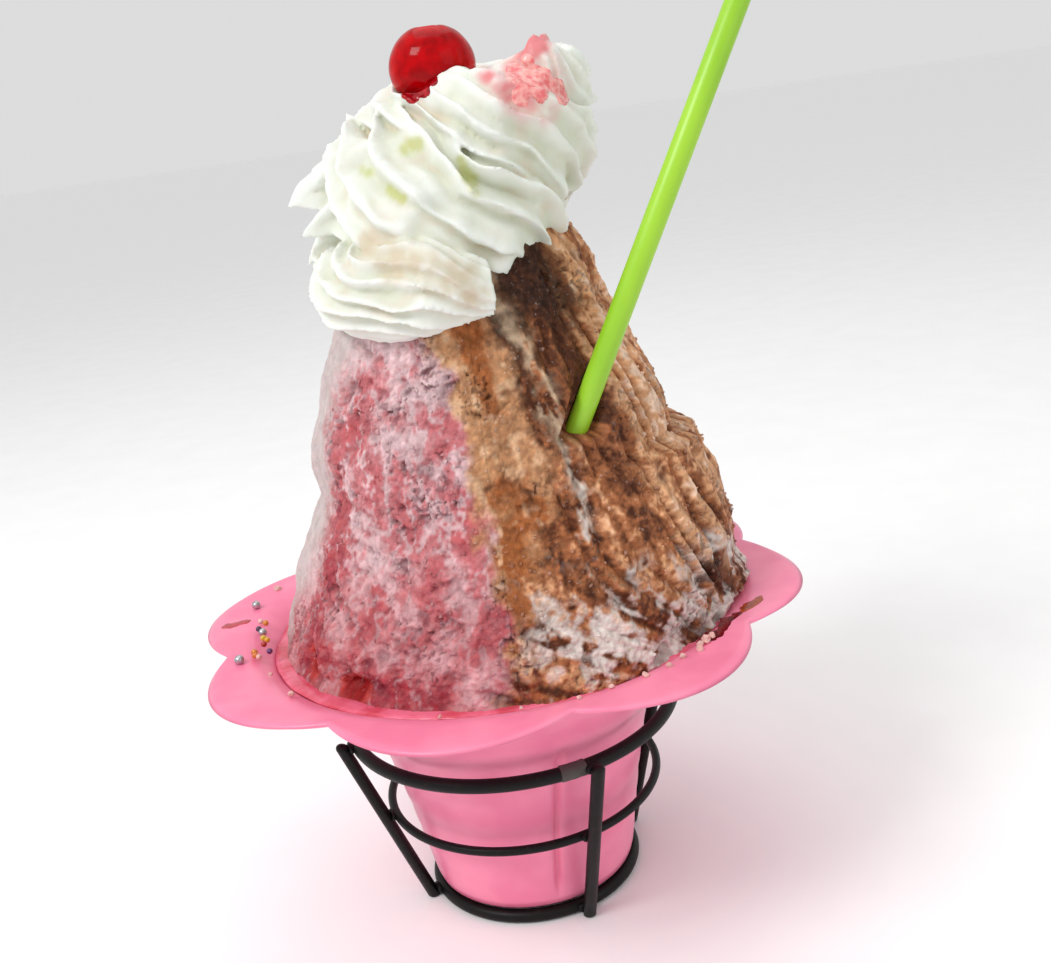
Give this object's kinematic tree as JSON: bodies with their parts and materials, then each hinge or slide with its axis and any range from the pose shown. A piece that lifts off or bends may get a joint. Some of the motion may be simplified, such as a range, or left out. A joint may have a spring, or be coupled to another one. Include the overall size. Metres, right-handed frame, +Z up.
{
  "type": "shaved ice dessert",
  "caption": "Mound of flavoured shaved ice in a petal-edged plastic cup, topped with a piped cream swirl and a cherry, with a slanted straw and a low wire stand.",
  "frame": {"origin": "centre of the bounding box at the floor the wire stand rests on", "axes": "+Z up along the cup, +X to the side that the straw leans towards, -Y the front"},
  "size_m": [0.1588, 0.1502, 0.2383],
  "materials": {
    "cup_plastic": "smooth pink plastic",
    "flavoured_ice": "packed shaved ice stained with syrups",
    "whipped_cream": "soft white cream",
    "candied_cherry": "wet glazed fruit",
    "straw_plastic": "smooth lime plastic",
    "black_wire": "satin black enamel on round wire"
  },
  "bodies": {
    "root": {"cup": "cup_plastic", "shaved_ice": "flavoured_ice", "whipped_cream": "whipped_cream", "cherry": "candied_cherry", "straw": "straw_plastic", "stand_top_ring": "black_wire", "stand_lower_ring": "black_wire", "stand_base_ring": "black_wire", "stand_leg_1": "black_wire", "stand_leg_2": "black_wire", "stand_leg_3": "black_wire", "stand_leg_4": "black_wire"}
  },
  "joints": []
}
